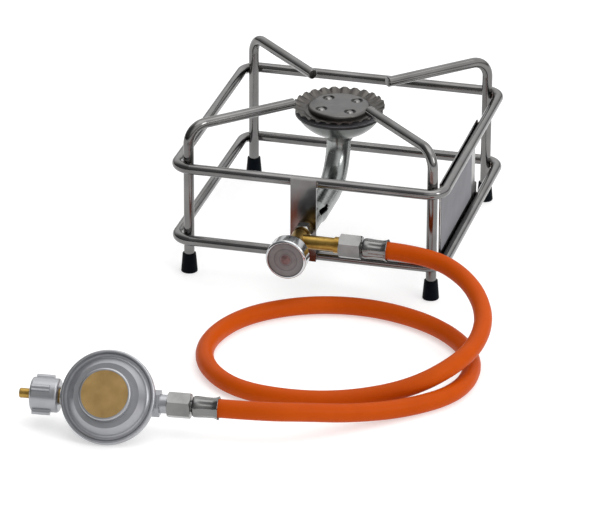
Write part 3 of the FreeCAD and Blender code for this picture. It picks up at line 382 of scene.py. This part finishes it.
FINISHES = {
    "stainless": polished_steel("polished_stainless"),
    "rubber_black": black_rubber("black_rubber"),
    "zinc_plate": zinc_plate("zinc_plate", (0.16, 0.16, 0.158), (0.25, 0.25, 0.245)),
    "burner_steel": heat_tint_and_painted_shade_steel("heat_tint_and_painted_shade_steel"),
    "burner_black": blackened_steel_with_painted_lit_top("blackened_steel_with_painted_lit_top"),
    "brass": brass("turned_brass"),
    "knob_chrome": chrome("plated_chrome"),
    "knob_face_grey": knob_face("knob_face_satin"),
    "screw_red": red_lacquer("red_lacquer"),
    "hose_orange": orange_hose("orange_hose"),
    "regulator_silver": silver_lacquer("silver_lacquer"),
    "disc_tan": tan_lacquer("tan_lacquer"),
}
OWN_FINISH = {
    "burner_bowl": zinc_plate("warm_zinc_plate", (0.115, 0.121, 0.118), (0.18, 0.188, 0.179)),
    "cap_rivets": polished_steel("rivet_steel", 1.2),
    "mixing_tube": zinc_plate("tube_zinc_plate", (0.2, 0.212, 0.208), (0.33, 0.345, 0.335)),
    # Painted reflection: the lock nut's zinc is about three times as pale as the other nuts, standing in for the
    # bright reflection on it.
    "valve_lock_nut": zinc_plate("zinc_plate_painted_bright", (0.55, 0.56, 0.56), (0.75, 0.76, 0.76)),
    "side_plate": polished_steel("plain_stainless_sheet", 1.1),
}


def dress_nodes():
    """Give every CAD node the finish of its slot."""
    for entry in frame["record"]["subparts"]:
        piece = NODES[entry["node"]]
        finish = OWN_FINISH.get(entry["node"], FINISHES[entry["material_slot"]])
        piece.data.materials.clear()
        piece.data.materials.append(finish)


# Hose

def regulator_axis():
    """The point and direction of the regulator's outlet, from its swivel nut's joint."""
    joint = JOINTS["regulator_nut_turn"]
    nut = JOINTS["cylinder_nut_turn"]
    out = Vector(joint["axis"]).normalized()
    centre = Vector(nut["pos_m"]) + out * INLET_REACH
    return centre, out


def make_hose():
    """The hose as one smooth spline along the route's points."""
    centre, out = regulator_axis()
    end = centre + out * HOSE_END_REACH
    points = [HOSE_START, HOSE_START + Vector((HOSE_LEAD, 0, 0))]
    points += [Vector(p) * MM for p in HOSE_POINTS]
    points += [end + out * HOSE_LEAD, end]
    curve = bpy.data.curves.new("gas_hose_line", "CURVE")
    curve.dimensions = "3D"
    curve.bevel_depth = HOSE_DIAMETER / 2
    curve.bevel_resolution = 8
    curve.resolution_u = 16
    curve.use_fill_caps = True
    spline = curve.splines.new("NURBS")
    spline.points.add(len(points) - 1)
    for spot, point in zip(spline.points, points):
        spot.co = (*point, 1)
    spline.order_u = 3
    spline.use_endpoint_u = True
    hose = bpy.data.objects.new("gas_hose_tube", curve)
    bpy.context.scene.collection.objects.link(hose)
    curve.materials.append(FINISHES["hose_orange"])
    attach(hose, STAND)
    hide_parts("gas_hose")


# Small details

def add_piece(name, bm, body, finish):
    """Turn a finished mesh into a piece that rides on a body."""
    mesh = bpy.data.meshes.new(name)
    bmesh.ops.recalc_face_normals(bm, faces=bm.faces)
    for face in bm.faces:
        face.smooth = True
    bm.to_mesh(mesh)
    bm.free()
    mesh.materials.append(finish)
    piece = bpy.data.objects.new(name, mesh)
    bpy.context.scene.collection.objects.link(piece)
    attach(piece, body)
    return piece


def ferrule_rows():
    """The ferrule's outline as length, radius and depth of crimp, in millimetres."""
    rows = [(0, 4.1, 0), (0, 5.7, 0)]
    for step in range(1, 7):
        turn = math.pi / 2 * step / 6
        rows.append((2 - 2 * math.cos(turn), 5.7 + 2 * math.sin(turn), 0))
    rows += [(3.2, 7.7, 0), (4.2, 7.69, 0.12), (5, 7.66, 0.3), (6.2, 7.58, 0.42), (8, 7.46, 0.46),
             (10, 7.36, 0.46), (13, 7.33, 0.44), (14.5, 7.33, 0.4), (15.6, 7.38, 0.34),
             (16.6, 7.6, 0.34), (17.6, 7.98, 0.42), (18.5, 8.4, 0.5), (19, 8.66, 0.55),
             (18.8, 8.3, 0.5), (18, 7.6, 0.3), (17, 7.1, 0.1), (15, 6.85, 0)]
    return rows


def make_ferrule(name, node, place, out):
    """A ferrule crimped on to the hose by eight jaws, flared where the hose leaves it."""
    turn = out.to_track_quat("Z", "Y").to_matrix()
    jaws, steps = 8, 128
    bm = bmesh.new()
    loops = []
    for length, radius, crimp in ferrule_rows():
        loop = []
        for step in range(steps):
            angle = 2 * math.pi * step / steps
            press = (0.5 + 0.5 * math.cos(jaws * angle)) ** 1.5
            reach = (radius - crimp * press) * MM
            spot = Vector((reach * math.cos(angle), reach * math.sin(angle), length * MM))
            loop.append(bm.verts.new(place + turn @ spot))
        loops.append(loop)
    for first, second in zip(loops, loops[1:]):
        for step in range(steps):
            after = (step + 1) % steps
            bm.faces.new((first[step], first[after], second[after], second[step]))
    ferrule = add_piece(name, bm, STAND, FINISHES["zinc_plate"])
    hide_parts(node)
    return ferrule


def add_bead(bm, centre, normal, sizes):
    """One rippled weld bead: its half sizes are upright, across and along the normal."""
    normal = Vector(normal).normalized()
    across = normal.cross(Vector((0, 0, 1))).normalized()
    rows, steps = 12, 20
    loops = []
    for row in range(1, rows):
        tilt = math.pi * row / rows
        loop = []
        for step in range(steps):
            angle = 2 * math.pi * step / steps
            ripple = 1 + 0.07 * math.sin(5 * tilt + 3 * angle) + 0.05 * math.sin(4 * angle - 7 * tilt)
            up = math.cos(tilt) * sizes[0] * ripple
            side = math.sin(tilt) * math.cos(angle) * sizes[1] * ripple
            out = math.sin(tilt) * math.sin(angle) * sizes[2] * ripple
            spot = Vector(centre) + Vector((0, 0, up)) + across * side + normal * out
            loop.append(bm.verts.new(spot * MM))
        loops.append(loop)
    for first, second in zip(loops, loops[1:]):
        for step in range(steps):
            after = (step + 1) % steps
            bm.faces.new((first[step], first[after], second[after], second[step]))
    bm.faces.new(loops[0])
    bm.faces.new(loops[-1])


def make_welds():
    """Weld beads where the legs, the bracket and the plate meet the rings."""
    bm = bmesh.new()
    leg_touch, bracket_front, bracket_half, plate_face = 97.86, -108.5, 10.2, 100.4
    plate_ends = (-90.6, 36.6)
    for height in (30, 89.5):
        for side_x in (-1, 1):
            for side_y in (-1, 1):
                leg_spot = (side_x * leg_touch, side_y * leg_touch, height)
                add_bead(bm, leg_spot, (side_x, side_y, 0), (2.7, 2.7, 1.5))
            bracket_spot = (BURNER_X / MM + side_x * bracket_half, bracket_front, height)
            add_bead(bm, bracket_spot, (0, -1, 0), (2.2, 1.1, 1.2))
        for place in plate_ends:
            add_bead(bm, (plate_face, place, height), (1, 0, 0), (2.4, 1.1, 1.0))
    add_piece("stand_welds", bm, STAND, weld_steel("weld_steel"))


def make_label():
    """The plain label on the outside of the side plate."""
    bm = bmesh.new()
    front, back, low, high, corner, thick = -88, 17.5, 36.5, 83.5, 2, 0.15
    plate_face = 100.46
    outline = []
    corners = ((back, high, 0), (front, high, 90), (front, low, 180), (back, low, 270))
    for centre_y, centre_z, start in corners:
        inset_y = -corner if centre_y == back else corner
        inset_z = -corner if centre_z == high else corner
        for step in range(7):
            angle = math.radians(start + 15 * step)
            outline.append((centre_y + inset_y + corner * math.cos(angle),
                            centre_z + inset_z + corner * math.sin(angle)))
    base = [bm.verts.new(Vector((plate_face, y, z)) * MM) for y, z in outline]
    top = [bm.verts.new(Vector((plate_face + thick, y, z)) * MM) for y, z in outline]
    for step in range(len(outline)):
        after = (step + 1) % len(outline)
        bm.faces.new((base[step], base[after], top[after], top[step]))
    bm.faces.new(top)
    bm.faces.new(base)
    label = add_piece("plate_label", bm, STAND, blank_label("blank_label"))
    for face in label.data.polygons:
        face.use_smooth = False


# Light, floor and camera

def make_floor():
    """A wide pale floor."""
    half = 4.0
    mesh = bpy.data.meshes.new("floor")
    corners = [(-half, -half, 0), (half, -half, 0), (half, half, 0), (-half, half, 0)]
    mesh.from_pydata(corners, [], [(0, 1, 2, 3)])
    mesh.materials.append(floor_paint("pale_floor"))
    floor = bpy.data.objects.new("floor", mesh)
    bpy.context.scene.collection.objects.link(floor)


def area_light(name, place, aim, size, power):
    """A rectangular soft box aimed at a point."""
    light = bpy.data.lights.new(name, "AREA")
    light.shape = "RECTANGLE"
    light.size, light.size_y = size
    light.energy = power
    lamp = bpy.data.objects.new(name, light)
    bpy.context.scene.collection.objects.link(lamp)
    lamp.location = place
    lamp.rotation_euler = (Vector(aim) - Vector(place)).to_track_quat("-Z", "Y").to_euler()


def world_ramp(nodes, links, value, stops):
    """Greys along a value of the surround."""
    node = nodes.new("ShaderNodeValToRGB")
    fill_band(node.color_ramp, stops)
    links.new(value, node.inputs["Fac"])
    return node.outputs["Color"]


def make_light():
    """A pale surround with a dark line at the horizon and a darker left side, and two soft boxes."""
    world = bpy.data.worlds.new("studio")
    bpy.context.scene.world = world
    world.use_nodes = True
    nodes, links = world.node_tree.nodes, world.node_tree.links
    way = nodes.new("ShaderNodeTexCoord").outputs["Generated"]
    split = nodes.new("ShaderNodeSeparateXYZ")
    links.new(way, split.inputs[0])
    horizon = ((0.0, 0.5), (0.05, 0.1), (0.16, 0.45), (0.4, 1.0))
    height = world_ramp(nodes, links, split.outputs["Z"], horizon)
    left = nodes.new("ShaderNodeVectorMath")
    left.operation = "DOT_PRODUCT"
    links.new(way, left.inputs[0])
    left.inputs[1].default_value = (-0.79, -0.53, 0.3)
    shade = world_ramp(nodes, links, left.outputs["Value"], ((0.3, 1.0), (0.8, 0.15)))
    both = nodes.new("ShaderNodeMix")
    both.data_type = "RGBA"
    both.blend_type = "MULTIPLY"
    both.inputs[0].default_value = 1.0
    links.new(height, both.inputs[6])
    links.new(shade, both.inputs[7])
    links.new(both.outputs[2], nodes["Background"].inputs["Color"])
    nodes["Background"].inputs["Strength"].default_value = 1.3
    middle = (0, -0.12, 0.05)
    area_light("top_box", (0.2, -0.1, 1.8), middle, (1.6, 1.6), 9)
    area_light("right_box", (1.5, -0.8, 1.0), middle, (0.35, 0.8), 6)


def make_camera():
    """A long lens at the photograph's angle, turned to frame the object as it does."""
    az, el, roll = VIEW_AZIMUTH, VIEW_ELEVATION, VIEW_ROLL
    back = Vector((math.sin(az) * math.cos(el), -math.cos(az) * math.cos(el), math.sin(el)))
    level = Vector((math.cos(az), math.sin(az), 0))
    upright = back.cross(level)
    right = level * math.cos(roll) + upright * math.sin(roll)
    up = upright * math.cos(roll) - level * math.sin(roll)
    place = back * VIEW_DISTANCE
    back = back + right * (ORIGIN_RIGHT_PIXELS / FOCAL_PIXELS) + up * (ORIGIN_UP_PIXELS / FOCAL_PIXELS)
    back.normalize()
    right = (right - back * right.dot(back)).normalized()
    up = back.cross(right)
    data = bpy.data.cameras.new("camera")
    data.sensor_width = SENSOR
    data.lens = FOCAL_PIXELS / FRAME_WIDTH * SENSOR
    data.clip_end = 20
    camera = bpy.data.objects.new("camera", data)
    bpy.context.scene.collection.objects.link(camera)
    camera.matrix_world = Matrix((
        (right.x, up.x, back.x, place.x), (right.y, up.y, back.y, place.y),
        (right.z, up.z, back.z, place.z), (0, 0, 0, 1),
    ))
    bpy.context.scene.camera = camera


dress_nodes()
make_ferrule("valve_ferrule_crimped", "valve_ferrule", VALVE_FERRULE, Vector((1, 0, 0)))
outlet, outlet_way = regulator_axis()
outlet_ferrule = make_ferrule("regulator_ferrule_crimped", "regulator_ferrule",
                              outlet + outlet_way * FERRULE_REACH, outlet_way)
make_hose()
make_welds()
make_label()
make_floor()
make_light()
make_camera()
bpy.context.scene.view_settings.view_transform = "Standard"
